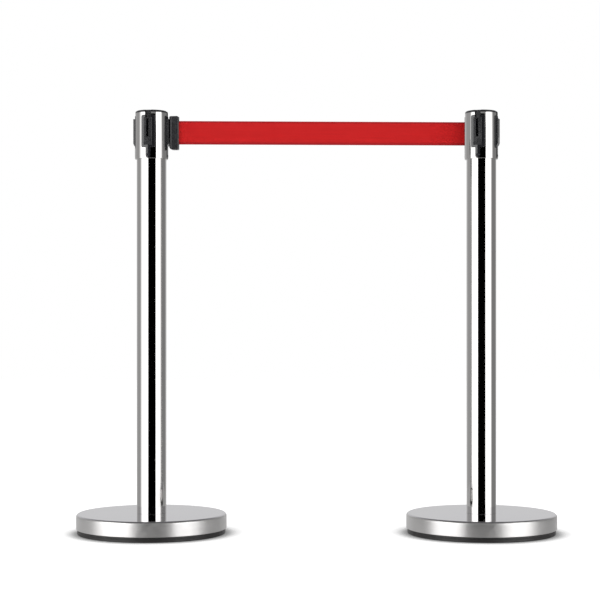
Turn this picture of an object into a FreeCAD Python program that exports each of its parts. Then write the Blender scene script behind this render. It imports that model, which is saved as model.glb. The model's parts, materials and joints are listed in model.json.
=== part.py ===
"""A pair of retractable belt stanchions joined by one belt.

Two equal posts stand on weighted round bases. Each head holds a sprung spool with two metres of webbing,
one belt mouth and three receivers. The right post's belt is drawn out and its clip hangs in a receiver of
the left post. The left post's own belt is wound in, and its clip is parked against its mouth.

Frame: millimetres, +Z up, origin on the floor midway between the posts, +X from the left post to the right
one, -Y towards a person who faces the belt. Every head is drawn in its own frame first: its axis is the
post's axis and local +X points out of its belt mouth.
"""

import FreeCAD
import Part

import math
import os

from FreeCAD import Vector

# ---------------------------------------------------------------- driving dimensions (mm, degrees)
# The pair
post_height = 900.0  # floor to the top of the cap
post_spacing = 704.0  # axis to axis, as the pair stands
head_turn = {"right": -19.5, "left": -7.7}  # how far each post is turned, seen from above
running_gap = 0.3  # between pieces that move past each other
fit_gap = 0.1  # between pieces that are put together and stay so
free_gap = 0.4  # between pieces that only lie side by side
bearing_clearance = 0.05

# Base
base_radius = 160.0
base_height = 43.0  # floor to the top of the cover
cover_wall = 1.0
cover_corner = 6.0
ring_height = 11.0  # the rubber that shows under the cover
ring_step = 2.5  # how far the rubber stands back from the cover
ring_width = 12.0
ring_sole = 3.5  # rubber under the weight
ring_lip_height = 8.0
ring_lip_wall = 4.4
ring_edge = 1.5
weight_plate = 13.0
weight_rim_width = 14.0
weight_boss_radius = 40.0
weight_rib_width = 8.0
weight_rib_step = 6.0  # how far a rib stays under the boss
weight_ribs = 6
weight_draft = 3.0
recess_radius = 27.0
recess_depth = 14.0
bolt_radius = 6.0
bolt_head_across = 18.0
bolt_head_height = 7.5
bolt_thread_depth = 16.0
bolt_point = 1.0
bolt_hole_gap = 0.5
washer_radius = 22.0
washer_thickness = 3.0

# Tube
tube_radius = 31.5
tube_wall = 1.2
plug_height = 20.0

# Belt
belt_width = 50.0
belt_thickness = 0.5
belt_pitch = 0.55  # from one wound turn to the next
belt_length = 2000.0  # from the spool to the clip
belt_bend_radius = 12.0
belt_end_length = 150.0  # the stretch next to the clip, which is a piece of its own

# Head shell and cap, from the top down
cap_thickness = 4.5
shell_rim = 6.5  # from the shell's top edge to its windows
window_over = 10.5  # from a window's top to the belt
window_under = 8.5  # from the belt to a window's bottom
tongue_length = 23.0  # from a window's bottom to the shell's bottom edge
sleeve_wall = 3.1  # the shell around the tube
shell_wall = 1.8
shell_edge = 0.8
tube_stop = 1.0  # the tube ends this far under the windows
cap_edge = 4.0
cap_skirt_wall = 2.0
cap_spigot_wall = 1.8
cap_spigot_depth = 3.5
cap_groove_radius = 20.0
cap_groove_width = 1.6
cap_groove_depth = 0.6

# Receivers
window_half = 15.0  # half the width of a receiver's window
window_corner = 4.0
window_gap = 0.2
plate_proud = 0.8  # how far plates and tongues stand out of the shell
plate_edge = 0.5
flange_reach = 2.5  # the hidden flange behind the shell
flange_wall = 1.5
rail_proud = 2.8  # how far the rails stand out of the plate
rail_over = 4.5
rail_under = 3.5
rail_edge = 1.2
rail_slope = 3.0
slot_half = 6.3
slot_wall = 2.7  # beside the slot
slot_back_wall = 1.6
slot_depth = 6.8
slot_under = 11.5  # the slot's floor, under the middle of the belt
lip_wall = 3.3
lip_gap_half = 3.2
block_side_wall = 4.0
tongue_half = 5.2
tongue_groove = 0.7
tongue_tip_step = 1.0

# Belt mouth
mouth_half = 8.0
mouth_wall = 1.5
slit_half = 1.6
lip_radius = 2.0
lip_setback = 1.9  # from the bore of the shell to the middle of the rounded lips
belt_room = 1.0  # over and under the belt

# Clip on the belt's end
clip_length = 21.0
clip_width = 13.0
clip_height = 71.5
clip_drop = 0.8  # from the belt's middle down to the clip's middle
clip_corner = 3.5
clip_heel = 9.0  # the large round at the bottom, on the hook's side
clip_round = 5.8  # upright edges on the hook's side
clip_nose = 3.6  # upright edges on the belt's side
hook_height = 32.0
hook_wall = 4.2
hook_side_gap = 0.45
clip_pin_radius = 2.0
clip_pin_inset = 5.1  # from the belt's side of the clip to the pin
clip_pin_cover = 1.0
clip_slot_angle = 18.0
clip_groove_width = 1.0
clip_groove_depth = 0.5
clip_grips = 3
clip_grip_start = 8.0
clip_grip_pitch = 2.6
clip_grip_half = 21.0

# Cassette
cassette_wall = 1.6
cassette_floor = 3.0
cassette_lid = 2.5
cassette_skirt_wall = 4.4
cassette_skirt_drop = 9.0
cassette_window_half = 11.0
spindle_radius = 4.0
spindle_boss_wall = 4.0
spindle_boss_drop = 11.0
spindle_seat = 1.5
spindle_screw_radius = 2.0
spindle_screw_length = 12.0
spindle_screw_head = 6.5
spindle_screw_head_height = 3.0
hub_radius = 12.0
spool_side_gap = 1.0
spool_rim_gap = 0.7
spool_flange = 2.0
bush_wall = 2.0
bush_length = 9.0
bush_collar_wall = 1.5
spring_width = 16.0
spring_thickness = 0.4
spring_turns = 12
spring_cup_wall = 1.5
spring_cover = 1.5

# Head screws
screw_radius = 2.0
screw_length = 9.0
screw_head_radius = 3.0
screw_head_height = 1.0
screw_head_edge = 0.5
screw_sink = 0.6  # depth of the heads' seats in the tongues
screw_above_tip = 6.2  # from the tip of the tongue up to the screw
screw_hole_gap = 0.2
thread_gap = 0.02
socket_radius = 1.4
socket_depth = 0.6

# ---------------------------------------------------------------- worked-out sizes
# Heights
shell_top = post_height - cap_thickness
window_high = shell_top - shell_rim
belt_high = window_high - window_over
belt_low = belt_high - belt_width
belt_mid = (belt_low + belt_high) / 2
window_low = belt_low - window_under
shell_bottom = window_low - tongue_length
tube_top = window_low - tube_stop
rail_low = belt_low - rail_under
rail_high = belt_high + rail_over
slot_low = belt_mid - slot_under
block_top = shell_top - free_gap
tongue_tip = shell_bottom + tongue_tip_step
screw_height = tongue_tip + screw_above_tip
room_low = belt_low - belt_room
room_high = belt_high + belt_room

spool_low = belt_low - spool_side_gap - spool_flange
spool_high = belt_high + spool_side_gap + spool_flange
spring_low = spool_low - spool_side_gap - spring_width
spring_cup_low = spring_low - spool_side_gap
spring_cover_low = spring_cup_low - spring_cover
floor_top = spring_cover_low - spool_side_gap
floor_low = floor_top - cassette_floor
lid_low = spool_high + spool_side_gap
lid_top = lid_low + cassette_lid
skirt_low = floor_low - cassette_skirt_drop
spindle_low = floor_low - spindle_boss_drop + spindle_seat

# Radii, from the tube outwards and inwards
tube_bore = tube_radius - tube_wall
shell_radius = tube_radius + fit_gap + sleeve_wall
shell_bore = shell_radius - shell_wall
plate_radius = shell_radius + plate_proud
rail_radius = plate_radius + rail_proud
rail_half = slot_half + slot_wall
lip_inner = rail_radius - lip_wall
slot_back = lip_inner - slot_depth
block_back = slot_back - slot_back_wall
block_half = slot_half + block_side_wall
flange_bore = shell_bore - flange_wall
cassette_radius = block_back - free_gap
cassette_bore = cassette_radius - cassette_wall
skirt_radius = tube_bore - free_gap
spool_radius = cassette_bore - spool_rim_gap
bush_radius = spindle_radius + bearing_clearance + bush_wall
bush_collar = bush_radius + bush_collar_wall
lip_reach = shell_bore - lip_setback
lip_centre = lip_radius + belt_thickness / 2 + bearing_clearance  # from the belt's middle to a lip's centre
screw_seat = plate_radius - screw_sink

# Clip, from the rails outwards
clip_face = rail_radius + running_gap  # the clip's side that meets the rails
parked_face = plate_radius + running_gap  # the clip's side that meets the mouth
clip_low = belt_mid - clip_drop - clip_height / 2
clip_high = clip_low + clip_height
hook_low = slot_low + running_gap
hook_half = slot_half - hook_side_gap
neck_half = lip_gap_half - running_gap
hook_back = clip_face - lip_inner + running_gap  # from the clip's face to the near side of the hook
clip_pin_x = clip_length - clip_pin_inset
loop_radius = clip_pin_radius + bearing_clearance + belt_thickness / 2

# Base
weight_radius = base_radius - cover_wall - ring_lip_wall - 3 * fit_gap
weight_low = ring_sole + fit_gap
weight_high = base_height - cover_wall - fit_gap
recess_roof = weight_low + recess_depth

# Ports: each receiver by name, with its angle from the mouth
ports = {
    "right": {"front": 90.0, "right": 180.0, "back": 270.0},
    "left": {"left": 90.0, "front": 180.0, "right": 270.0},
}
port_angles = (0.0, 90.0, 180.0, 270.0)
mouth_angle = {"right": 180.0 + head_turn["right"], "left": 90.0 + head_turn["left"]}
post_x = {"right": post_spacing / 2, "left": -post_spacing / 2}


# ---------------------------------------------------------------- shared shapes
def cylinder(radius, low, high):
    return Part.makeCylinder(radius, high - low, Vector(0, 0, low))


def ring(inner, outer, low, high):
    return cylinder(outer, low, high).cut(cylinder(inner, low, high))


def block(near, far, half, low, high):
    """A box that runs out along local X from near to far, is 2 * half wide, and stands from low to high."""
    return Part.makeBox(far - near, 2 * half, high - low, Vector(near, -half, low))


def radial_pin(radius, near, far, height):
    """A cylinder along local X at that height."""
    return Part.makeCylinder(radius, far - near, Vector(near, 0, height), Vector(1, 0, 0))


def turned(shape, angle):
    copy = shape.copy()
    copy.rotate(Vector(0, 0, 0), Vector(0, 0, 1), angle)
    return copy


def moved(shape, x=0.0, y=0.0, z=0.0):
    copy = shape.copy()
    copy.translate(Vector(x, y, z))
    return copy


def joined(*shapes):
    """One solid from shapes that overlap or share a face."""
    return shapes[0].multiFuse(list(shapes[1:])).removeSplitter()


def drilled(shape, *tools):
    for tool in tools:
        shape = shape.cut(tool)
    return shape


def revolved(points):
    """A solid of revolution about Z from a closed outline of (radius, height) points."""
    outline = Part.makePolygon([Vector(r, 0, z) for r, z in [*points, points[0]]])
    return Part.Face(outline).revolve(Vector(0, 0, 0), Vector(0, 0, 1), 360)


def prism(corners, height):
    """An upright prism over a closed outline of points."""
    return Part.Face(Part.makePolygon([*corners, corners[0]])).extrude(Vector(0, 0, height))


def rounded(shape, radius, chosen):
    """The shape with a fillet on each edge that chosen(edge) picks."""
    return shape.makeFillet(radius, [edge for edge in shape.Edges if chosen(edge)])


def close(a, b):
    return abs(a - b) < 1e-6


def is_circle(edge, radius, height):
    """True if an edge is a circle about an upright axis, of that radius and at that height."""
    curve = edge.Curve
    return isinstance(curve, Part.Circle) and close(curve.Radius, radius) and close(curve.Center.z, height)


def along(edge, axis):
    """True if a straight edge runs along x, y or z."""
    return isinstance(edge.Curve, Part.Line) and close(abs(getattr(edge.Curve.Direction, axis)), 1)


def on_skin(edge, radius):
    """True if every corner of an edge lies on the upright cylinder of that radius."""
    return all(close(math.hypot(v.X, v.Y), radius) for v in edge.Vertexes)


def heading(angle):
    return Vector(math.cos(math.radians(angle)), math.sin(math.radians(angle)), 0)


def strip(start, angle, moves, thickness, low, high):
    """Webbing or spring steel stood on edge: it starts at a point, heads at an angle and makes its moves.

    A move is ("run", length) or ("bend", radius, angle), and a positive bend turns left. Returns the solid,
    the point where the middle line ends, and its heading there.
    """
    half = thickness / 2
    point = Vector(start)
    side = heading(angle + 90) * half
    first_left, first_right = point + side, point - side
    edges = []
    for move in moves:
        if move[0] == "run":
            end = point + heading(angle) * move[1]
            side = heading(angle + 90) * half
            for offset in (side, side * -1):
                edges.append(Part.LineSegment(point + offset, end + offset).toShape())
            point = end
        else:
            radius, swing = move[1:]
            inward = angle + math.copysign(90, swing)
            centre = point + heading(inward) * radius
            for reach in (radius - half, radius + half):
                places = [centre - heading(inward + swing * share) * reach for share in (0, 0.5, 1)]
                edges.append(Part.Arc(*places).toShape())
            point = centre - heading(inward + swing) * radius
            angle += swing
    side = heading(angle + 90) * half
    edges.append(Part.LineSegment(first_left, first_right).toShape())
    edges.append(Part.LineSegment(point + side, point - side).toShape())
    outline = Part.Wire(Part.__sortEdges__(edges))
    solid = moved(Part.Face(outline).extrude(Vector(0, 0, high - low)), z=low)
    return solid, point, angle


# ---------------------------------------------------------------- base
def base_cover():
    """Spun steel dish: flat top, small rolled corner and a straight wall that ends above the floor."""
    under = base_height - cover_wall
    bore = base_radius - cover_wall
    outer = cylinder(base_radius, ring_height, base_height)
    outer = rounded(outer, cover_corner, lambda e: is_circle(e, base_radius, base_height))
    inner = cylinder(bore, ring_height, under)
    inner = rounded(inner, cover_corner - cover_wall, lambda e: is_circle(e, bore, under))
    return drilled(outer, inner, cylinder(bolt_radius + bolt_hole_gap, ring_height, base_height))


def floor_ring():
    """Rubber ring: a sole under the weight's edge and a lip that grips between the weight and the cover."""
    foot = base_radius - ring_step
    lip_outer = base_radius - cover_wall - fit_gap
    solid = revolved(
        [
            (foot - ring_width, 0),
            (foot, 0),
            (foot, ring_height),
            (lip_outer, ring_height),
            (lip_outer, ring_height + ring_lip_height),
            (weight_radius + fit_gap, ring_height + ring_lip_height),
            (weight_radius + fit_gap, ring_sole),
            (foot - ring_width, ring_sole),
        ]
    )
    return rounded(solid, ring_edge, lambda e: is_circle(e, foot, 0))


def base_weight():
    """Cast iron disc with a raised rim, a boss under the tube and ribs between them."""
    plate_top = weight_low + weight_plate
    rim_inner = weight_radius - weight_rim_width
    body = revolved(
        [
            (0, weight_low),
            (weight_radius, weight_low),
            (weight_radius, weight_high - cover_corner),
            (weight_radius - cover_corner, weight_high),
            (rim_inner + weight_draft, weight_high),
            (rim_inner, plate_top),
            (weight_boss_radius + weight_draft, plate_top),
            (weight_boss_radius, weight_high),
            (0, weight_high),
        ]
    )
    rib_inner, rib_outer = weight_boss_radius - weight_draft, rim_inner + weight_draft
    rib = block(rib_inner, rib_outer, weight_rib_width / 2, plate_top - 1, weight_high - weight_rib_step)
    body = joined(body, *[turned(rib, 360 * n / weight_ribs) for n in range(weight_ribs)])
    recess = cylinder(recess_radius, weight_low, recess_roof)
    return drilled(body, recess, cylinder(bolt_radius + bolt_hole_gap, weight_low, weight_high))


def clamp_washer():
    return ring(bolt_radius + bolt_hole_gap, washer_radius, recess_roof - washer_thickness, recess_roof)


def clamp_bolt():
    """Hexagon bolt from below, through the weight and the cover into the plug of the tube."""
    seat = recess_roof - washer_thickness
    tip = base_height + bolt_thread_depth
    corner_reach = bolt_head_across / 2 / math.cos(math.radians(30))
    head = prism([heading(60 * n) * corner_reach for n in range(6)], bolt_head_height)
    shank = rounded(cylinder(bolt_radius, seat, tip), bolt_point, lambda e: is_circle(e, bolt_radius, tip))
    return joined(moved(head, z=seat - bolt_head_height), shank)


def foot_plug():
    """Plug welded into the foot of the tube, tapped for the clamp bolt."""
    return ring(bolt_radius + thread_gap, tube_bore, base_height, base_height + plug_height)


# ---------------------------------------------------------------- tube, head shell and cap
def post_tube():
    hole = radial_pin(screw_radius + screw_hole_gap, 0, tube_radius + 1, screw_height)
    tube = ring(tube_bore, tube_radius, base_height, tube_top)
    return drilled(tube, *[turned(hole, angle) for angle in port_angles])


def tongue_shape(half, tip, skin):
    """The narrow tongue under a window, with a round tip, as far as it lies in a skin."""
    straight = block(0, rail_radius, half, tip + half, window_low + 2 * tube_stop)
    end = radial_pin(half, 0, rail_radius, tip + half)
    return joined(straight, end).common(skin)


def slot_way(low, high):
    """The way out over a receiver's slot, through shell and cap."""
    return block(slot_back, rail_radius, slot_half + window_gap, low, high)


def window(half):
    """What a port takes out of the shell at local +X, with rounded corners."""
    cut = block(0, rail_radius, half, window_low, window_high)
    return rounded(cut, window_corner, lambda e: along(e, "x"))


def head_shell():
    """Chromed sleeve over the top of the tube, with a window at each port and a groove for each tongue."""
    outer = cylinder(shell_radius, shell_bottom, shell_top)
    ends = (shell_bottom, shell_top)
    outer = rounded(outer, shell_edge, lambda e: any(is_circle(e, shell_radius, end) for end in ends))
    step = tube_top + fit_gap
    sleeve = cylinder(tube_radius + fit_gap, shell_bottom, step)
    shell = drilled(outer, sleeve, cylinder(shell_bore, step, shell_top))
    groove_skin = ring(shell_radius - tongue_groove, rail_radius, shell_bottom, window_low + tube_stop)
    groove = tongue_shape(tongue_half + window_gap, tongue_tip - window_gap, groove_skin)
    hole = radial_pin(screw_radius + screw_hole_gap, 0, rail_radius, screw_height)
    for angle in port_angles:
        half = mouth_half if angle == 0 else window_half
        shell = drilled(shell, *[turned(tool, angle) for tool in (window(half), groove, hole)])
        if angle:
            shell = shell.cut(turned(slot_way(window_high - 1, shell_top), angle))
    return shell


def top_cap():
    """Moulded cap: a disc notched over each receiver, a spigot in the shell and a skirt down to the lid."""
    disc = cylinder(shell_radius, shell_top, post_height)
    disc = rounded(disc, cap_edge, lambda e: is_circle(e, shell_radius, post_height))
    groove_outer = cap_groove_radius + cap_groove_width
    groove = ring(cap_groove_radius, groove_outer, post_height - cap_groove_depth, post_height)
    spigot_outer = shell_bore - fit_gap
    spigot = ring(spigot_outer - cap_spigot_wall, spigot_outer, shell_top - cap_spigot_depth, shell_top)
    for angle in port_angles:
        way = block(0, shell_radius, block_half + free_gap, shell_top - cap_spigot_depth, shell_top)
        spigot = spigot.cut(turned(way, angle))
        if angle:
            disc = disc.cut(turned(slot_way(shell_top, post_height), angle))
    skirt = ring(cassette_radius - cap_skirt_wall, cassette_radius, lid_top, shell_top)
    return joined(disc.cut(groove), skirt, spigot)


# ---------------------------------------------------------------- receivers, mouth and screws
def port_plate(half):
    """What fills a window: a plate that stands a little proud, a flange behind the shell and a tongue."""
    low, high = window_low + window_gap, window_high - window_gap
    front = block(0, rail_radius, half - window_gap, low, high)
    front = rounded(front, window_corner, lambda e: along(e, "x"))
    plate = ring(flange_bore, plate_radius, low, high).common(front)
    plate = rounded(plate, plate_edge, lambda e: on_skin(e, plate_radius))
    flange_low, flange_high = tube_top + 2 * fit_gap, window_high + flange_reach
    behind = block(0, shell_radius, half + flange_reach, flange_low, flange_high)
    flange = ring(flange_bore, shell_bore - fit_gap, flange_low, flange_high).common(behind)
    tongue_skin = ring(shell_radius - tongue_groove + thread_gap, plate_radius, shell_bottom, window_high)
    tongue = tongue_shape(tongue_half, tongue_tip, tongue_skin)
    hole = radial_pin(screw_radius + screw_hole_gap, 0, rail_radius, screw_height)
    seat = radial_pin(screw_head_radius + screw_hole_gap, screw_seat, rail_radius, screw_height)
    return drilled(joined(plate, flange, tongue), hole, seat)


def rails():
    """The channel in front of a receiver's plate, sloped at the bottom."""
    solid = block(flange_bore, rail_radius, rail_half, rail_low, rail_high)
    slope = [Vector(rail_radius - rail_slope, 0, rail_low), Vector(rail_radius, 0, rail_low)]
    slope.append(Vector(rail_radius, 0, rail_low + 2 * rail_slope))
    wedge = Part.Face(Part.makePolygon([*slope, slope[0]])).extrude(Vector(0, 2 * rail_half, 0))
    solid = solid.cut(moved(wedge, y=-rail_half))
    return rounded(solid, rail_edge, lambda e: along(e, "z") and close(e.CenterOfMass.x, rail_radius))


def receiver():
    """A receiver: plate, rails and a T-shaped slot for a clip's hook, open at the top."""
    behind = block(block_back, shell_bore, block_half, window_low + window_gap, block_top)
    behind = behind.common(cylinder(shell_bore - fit_gap, window_low, shell_top))
    body = joined(port_plate(window_half), behind, rails())
    slot = block(slot_back, lip_inner, slot_half, slot_low, post_height)
    gap = block(lip_inner, rail_radius, lip_gap_half, slot_low, post_height)
    over = block(lip_inner, rail_radius, slot_half, rail_high, post_height)
    return drilled(body, slot, gap, over)


def belt_mouth():
    """The belt's mouth: a narrower plate with an upright slit and two rounded lips for the belt."""
    behind = block(block_back, shell_bore, mouth_half - window_gap, window_low + window_gap, window_high)
    behind = behind.common(cylinder(shell_bore - fit_gap, window_low, window_high))
    pocket = block(block_back, lip_reach, mouth_half - mouth_wall, room_low, room_high)
    slit = block(lip_reach, rail_radius, slit_half, room_low, room_high)
    lip = moved(cylinder(lip_radius, room_low - 1, room_high + 1), x=lip_reach)
    lips = [moved(lip, y=side * lip_centre) for side in (1, -1)]
    return joined(drilled(joined(port_plate(mouth_half), behind), pocket, slit), *lips)


def head_screws():
    """Four pan-head screws, one through each tongue into the cassette."""
    top = screw_seat + screw_head_height
    shank = radial_pin(screw_radius, screw_seat - screw_length, screw_seat, screw_height)
    head = radial_pin(screw_head_radius, screw_seat, top, screw_height)
    head = rounded(head, screw_head_edge, lambda e: close(e.BoundBox.XMin, top))
    screw = joined(shank, head).cut(radial_pin(socket_radius, top - socket_depth, top, screw_height))
    return Part.makeCompound([turned(screw, angle) for angle in port_angles])


# ---------------------------------------------------------------- cassette
def cassette_body():
    """The fixed case of the spool: a cup with a window for the belt, and a skirt inside the tube."""
    cup = ring(cassette_bore, cassette_radius, floor_low, lid_low)
    floor = cylinder(skirt_radius, floor_low, floor_top)
    skirt = ring(skirt_radius - cassette_skirt_wall, skirt_radius, skirt_low, tube_top)
    boss = cylinder(spindle_radius + spindle_boss_wall, floor_low - spindle_boss_drop, floor_top)
    spool_room = cylinder(cassette_bore, floor_top, lid_low)
    body = joined(cup, floor, skirt, boss).cut(spool_room)
    spindle_hole = cylinder(spindle_radius + thread_gap, spindle_low, floor_top)
    belt_window = block(hub_radius, cassette_radius, cassette_window_half, room_low, room_high)
    thread = radial_pin(
        screw_radius + thread_gap, screw_seat - screw_length - free_gap, skirt_radius, screw_height
    )
    return drilled(body, spindle_hole, belt_window, *[turned(thread, angle) for angle in port_angles])


def cassette_cover():
    """Lid of the cassette, which holds the top of the spindle."""
    return ring(spindle_radius + thread_gap, cassette_radius, lid_low, lid_top)


def spindle():
    """Fixed steel pin that the spool turns on, tapped at the top."""
    thread = cylinder(spindle_screw_radius + thread_gap, lid_top - spindle_screw_length - 1, lid_top)
    return cylinder(spindle_radius, spindle_low, lid_top).cut(thread)


def spindle_screw():
    """Screw that clamps the lid to the spindle."""
    top = lid_top + spindle_screw_head_height
    shank = cylinder(spindle_screw_radius, lid_top - spindle_screw_length, lid_top)
    head = cylinder(spindle_screw_head, lid_top, top)
    head = rounded(head, screw_head_edge, lambda e: is_circle(e, spindle_screw_head, top))
    return joined(shank, head).cut(cylinder(socket_radius, top - 2 * socket_depth, top))


def spool():
    """Turning spool: hub, two flanges and the spring's cup under them."""
    hub = cylinder(hub_radius, spool_low, spool_high)
    lower = cylinder(spool_radius, spool_low, spool_low + spool_flange)
    upper = cylinder(spool_radius, spool_high - spool_flange, spool_high)
    cup = ring(spool_radius - spring_cup_wall, spool_radius, spring_cup_low, spool_low)
    return joined(hub, lower, upper, cup).cut(cylinder(bush_radius, spool_low, spool_high))


def spool_bushes():
    """Two collared bushes in the spool's bore, collars outwards."""
    bore = spindle_radius + bearing_clearance
    collar = spool_side_gap - running_gap
    lower = joined(
        ring(bore, bush_radius, spool_low, spool_low + bush_length),
        ring(bore, bush_collar, spool_low - collar, spool_low),
    )
    upper = joined(
        ring(bore, bush_radius, spool_high - bush_length, spool_high),
        ring(bore, bush_collar, spool_high, spool_high + collar),
    )
    return Part.makeCompound([lower, upper])


def clock_spring():
    """Spiral return spring, from the spindle out to the wall of its cup."""
    first = spindle_radius + fit_gap + spring_thickness / 2
    last = spool_radius - spring_cup_wall - fit_gap - spring_thickness / 2
    half_pitch = (last - first) / spring_turns / 2
    moves = [("bend", first + n * half_pitch, 180.0) for n in range(2 * spring_turns)]
    start, high = Vector(first, 0, 0), spring_low + spring_width
    return strip(start, 90.0, moves, spring_thickness, spring_low, high)[0]


def spring_cup_cover():
    """Disc that closes the spring's cup and turns with the spool."""
    return ring(spindle_radius + running_gap, spool_radius, spring_cover_low, spring_cup_low)


# ---------------------------------------------------------------- belt
def belt_roll(wound_length):
    """The wound webbing, clockwise from the hub outwards, with its end where the belt leaves it.

    Returns the solid and the distance of its last turn from the axis.
    """
    first = hub_radius + fit_gap + belt_thickness / 2
    radius, left, moves = first, wound_length, []
    while left > math.pi * radius:
        moves.append(("bend", radius, -180.0))
        left -= math.pi * radius
        radius += belt_pitch / 2
    moves.append(("bend", radius, -math.degrees(left / radius)))
    roll, end = strip(Vector(-first, 0, 0), 90.0, moves, belt_thickness, belt_low, belt_high)[:2]
    end_angle = math.degrees(math.atan2(end.y, end.x))
    return turned(roll, leaving(end.Length)[0] - end_angle), end.Length


def leaving(roll_radius):
    """How the belt leaves a roll whose last turn lies at that distance, on its way to a lip of the mouth.

    Returns the angle of the leaving point about the spool, its distance, the length of the straight run to
    the lip, and how far the belt turns round the lip.
    """
    distance = roll_radius + belt_thickness + bearing_clearance
    span = math.hypot(lip_reach, lip_centre)
    tilt = math.degrees(math.atan2(lip_centre, lip_reach))
    crossing = math.degrees(math.asin((distance + lip_centre) / span))
    run = math.sqrt(span**2 - (distance + lip_centre) ** 2)
    return 90.0 + tilt - crossing, distance, run, crossing - tilt


def belt_from_roll(roll_radius, moves):
    """Webbing from the roll over the lip to the middle of the slit, and then along more moves."""
    angle, distance, run, wrap = leaving(roll_radius)
    lead = [("run", run), ("bend", lip_centre, wrap)]
    start = heading(angle) * distance
    return strip(start, angle - 90.0, [*lead, *moves], belt_thickness, belt_low, belt_high)


def pin_loop(pin):
    """The belt's sewn loop round a clip's pin."""
    half = belt_thickness / 2
    return moved(ring(loop_radius - half, loop_radius + half, belt_low, belt_high), pin.x, pin.y)


def drawn_belt(roll_radius):
    """The drawn belt in the right head's frame, as two solids that meet: the run and the looped end."""
    pin = hooked_pin_from_right_head()
    bend_start = plate_radius + free_gap
    side = math.copysign(1, pin.y)
    centre = Vector(bend_start, side * belt_bend_radius, 0)
    to_pin = pin - centre
    aim = math.degrees(math.atan2(to_pin.y, to_pin.x))
    swing = aim + side * math.degrees(math.asin(belt_bend_radius / to_pin.Length))
    straight = math.sqrt(to_pin.Length**2 - belt_bend_radius**2)
    moves = [
        ("run", bend_start - lip_reach),
        ("bend", belt_bend_radius, swing),
        ("run", straight - belt_end_length),
    ]
    run, split, final = belt_from_roll(roll_radius, moves)
    to_loop = [("run", belt_end_length - loop_radius)]
    end = strip(split, final, to_loop, belt_thickness, belt_low, belt_high)[0]
    return run, joined(end, pin_loop(pin))


def parked_belt(roll_radius):
    """The short stretch of the left post's own belt, from its roll to the loop in the parked clip."""
    stretch = belt_from_roll(roll_radius, [("run", parked_pin_reach() - lip_reach - loop_radius)])[0]
    return joined(stretch, pin_loop(Vector(parked_pin_reach(), 0, 0)))


# ---------------------------------------------------------------- clip
def clip_blank():
    """The clip's outer shape: rounded in plan and in side view."""
    plan = block(0, clip_length, clip_width / 2, clip_low, clip_high)
    plan = rounded(plan, clip_round, lambda e: along(e, "z") and close(e.CenterOfMass.x, 0))
    plan = rounded(plan, clip_nose, lambda e: along(e, "z") and close(e.CenterOfMass.x, clip_length))
    side = block(0, clip_length, clip_width, clip_low, clip_high)

    def at(edge, x, z):
        return along(edge, "y") and close(edge.CenterOfMass.x, x) and close(edge.CenterOfMass.z, z)

    corners = [(0, clip_high), (clip_length, clip_high), (clip_length, clip_low)]
    side = rounded(side, clip_corner, lambda e: any(at(e, x, z) for x, z in corners))
    side = rounded(side, clip_heel, lambda e: at(e, 0, clip_low))
    return plan.common(side)


def clip_body():
    """The moulded clip in its own frame: X = 0 is the hook's side, +X points to the belt's side."""
    neck = block(-hook_back, clip_round / 2, neck_half, hook_low, hook_low + hook_height)
    hook = block(-hook_back - hook_wall, -hook_back, hook_half, hook_low, hook_low + hook_height)
    body = joined(clip_blank(), neck, hook)
    pin_hole = cylinder(clip_pin_radius + thread_gap, clip_low, clip_high - 2 * clip_pin_cover)
    loop_room = cylinder(loop_radius + belt_thickness + running_gap, room_low, room_high)
    throat = belt_thickness
    spread = throat + clip_pin_inset * math.tan(math.radians(clip_slot_angle))
    corners = [Vector(0, -throat, 0), Vector(clip_pin_inset, -spread, 0)]
    corners += [Vector(clip_pin_inset, spread, 0), Vector(0, throat, 0)]
    slot = moved(prism(corners, room_high - room_low), z=room_low)
    body = drilled(body, *[moved(tool, x=clip_pin_x) for tool in (pin_hole, loop_room, slot)])
    surface = clip_width / 2
    for near in (surface - clip_groove_depth, -surface):
        for n in range(clip_grips):
            corner = Vector(clip_grip_start + n * clip_grip_pitch, near, belt_mid - clip_grip_half)
            body = body.cut(Part.makeBox(clip_groove_width, clip_groove_depth, 2 * clip_grip_half, corner))
    return body


def clip_pin():
    """Steel pin through the belt's loop, pressed up into the clip from below."""
    pin = cylinder(clip_pin_radius, clip_low + clip_pin_cover, clip_high - 2 * clip_pin_cover)
    return moved(pin, x=clip_pin_x)


def hooked(shape):
    """Puts a clip shape into the left post's right receiver, in the pair's frame."""
    return on_post(moved(shape, x=clip_face), "left", hooked_angle())


def parked(shape):
    """Puts a clip shape against the left post's own mouth, hook outwards, in the pair's frame."""
    return on_post(moved(turned(shape, 180), x=parked_face + clip_length), "left", mouth_angle["left"])


def hooked_angle():
    return mouth_angle["left"] + ports["left"]["right"]


def parked_pin_reach():
    return parked_face + clip_pin_inset


def hooked_pin_from_right_head():
    """The hooked clip's pin, as the right head's frame sees it."""
    at = heading(hooked_angle()) * (clip_face + clip_pin_x) - Vector(post_spacing, 0, 0)
    return FreeCAD.Rotation(Vector(0, 0, 1), -mouth_angle["right"]).multVec(at)


# ---------------------------------------------------------------- putting it together
def on_post(shape, side, angle):
    """A shape drawn about its own axis, turned and stood on one of the two posts."""
    return moved(turned(shape, angle), x=post_x[side])


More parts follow.
